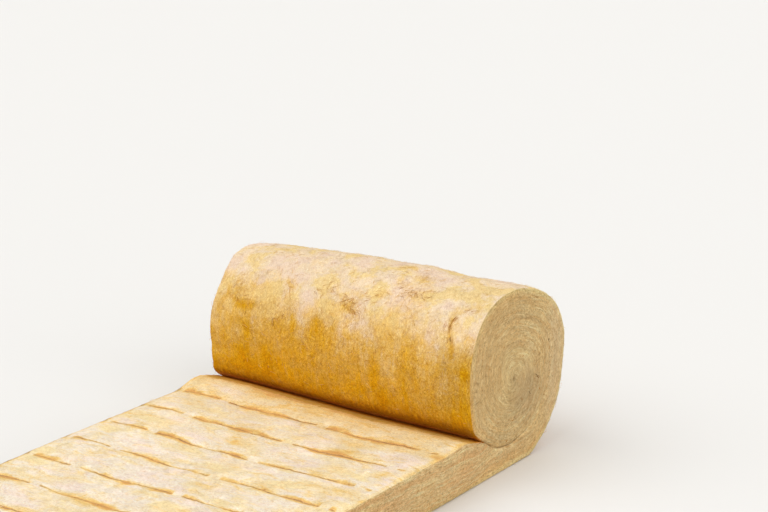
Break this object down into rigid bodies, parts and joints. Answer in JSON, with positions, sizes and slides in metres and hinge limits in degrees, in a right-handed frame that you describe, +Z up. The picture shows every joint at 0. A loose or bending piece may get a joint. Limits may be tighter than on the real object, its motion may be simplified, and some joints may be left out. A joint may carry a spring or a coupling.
{
  "type": "insulation roll",
  "caption": "Glass-wool insulation mat, partly unrolled: the free length lies flat and runs into its spiral roll, whose turns show on both round ends.",
  "frame": {"origin": "middle of the footprint, at floor level", "axes": "+X along the roll's axis, across the mat; +Y along the mat towards the roll; +Z up"},
  "size_m": [0.6, 1.3064, 0.3425],
  "materials": {
    "glass_wool": "soft fibrous wool, cream to amber yellow"
  },
  "bodies": {
    "root": {"insulation_mat": "glass_wool"}
  },
  "joints": []
}
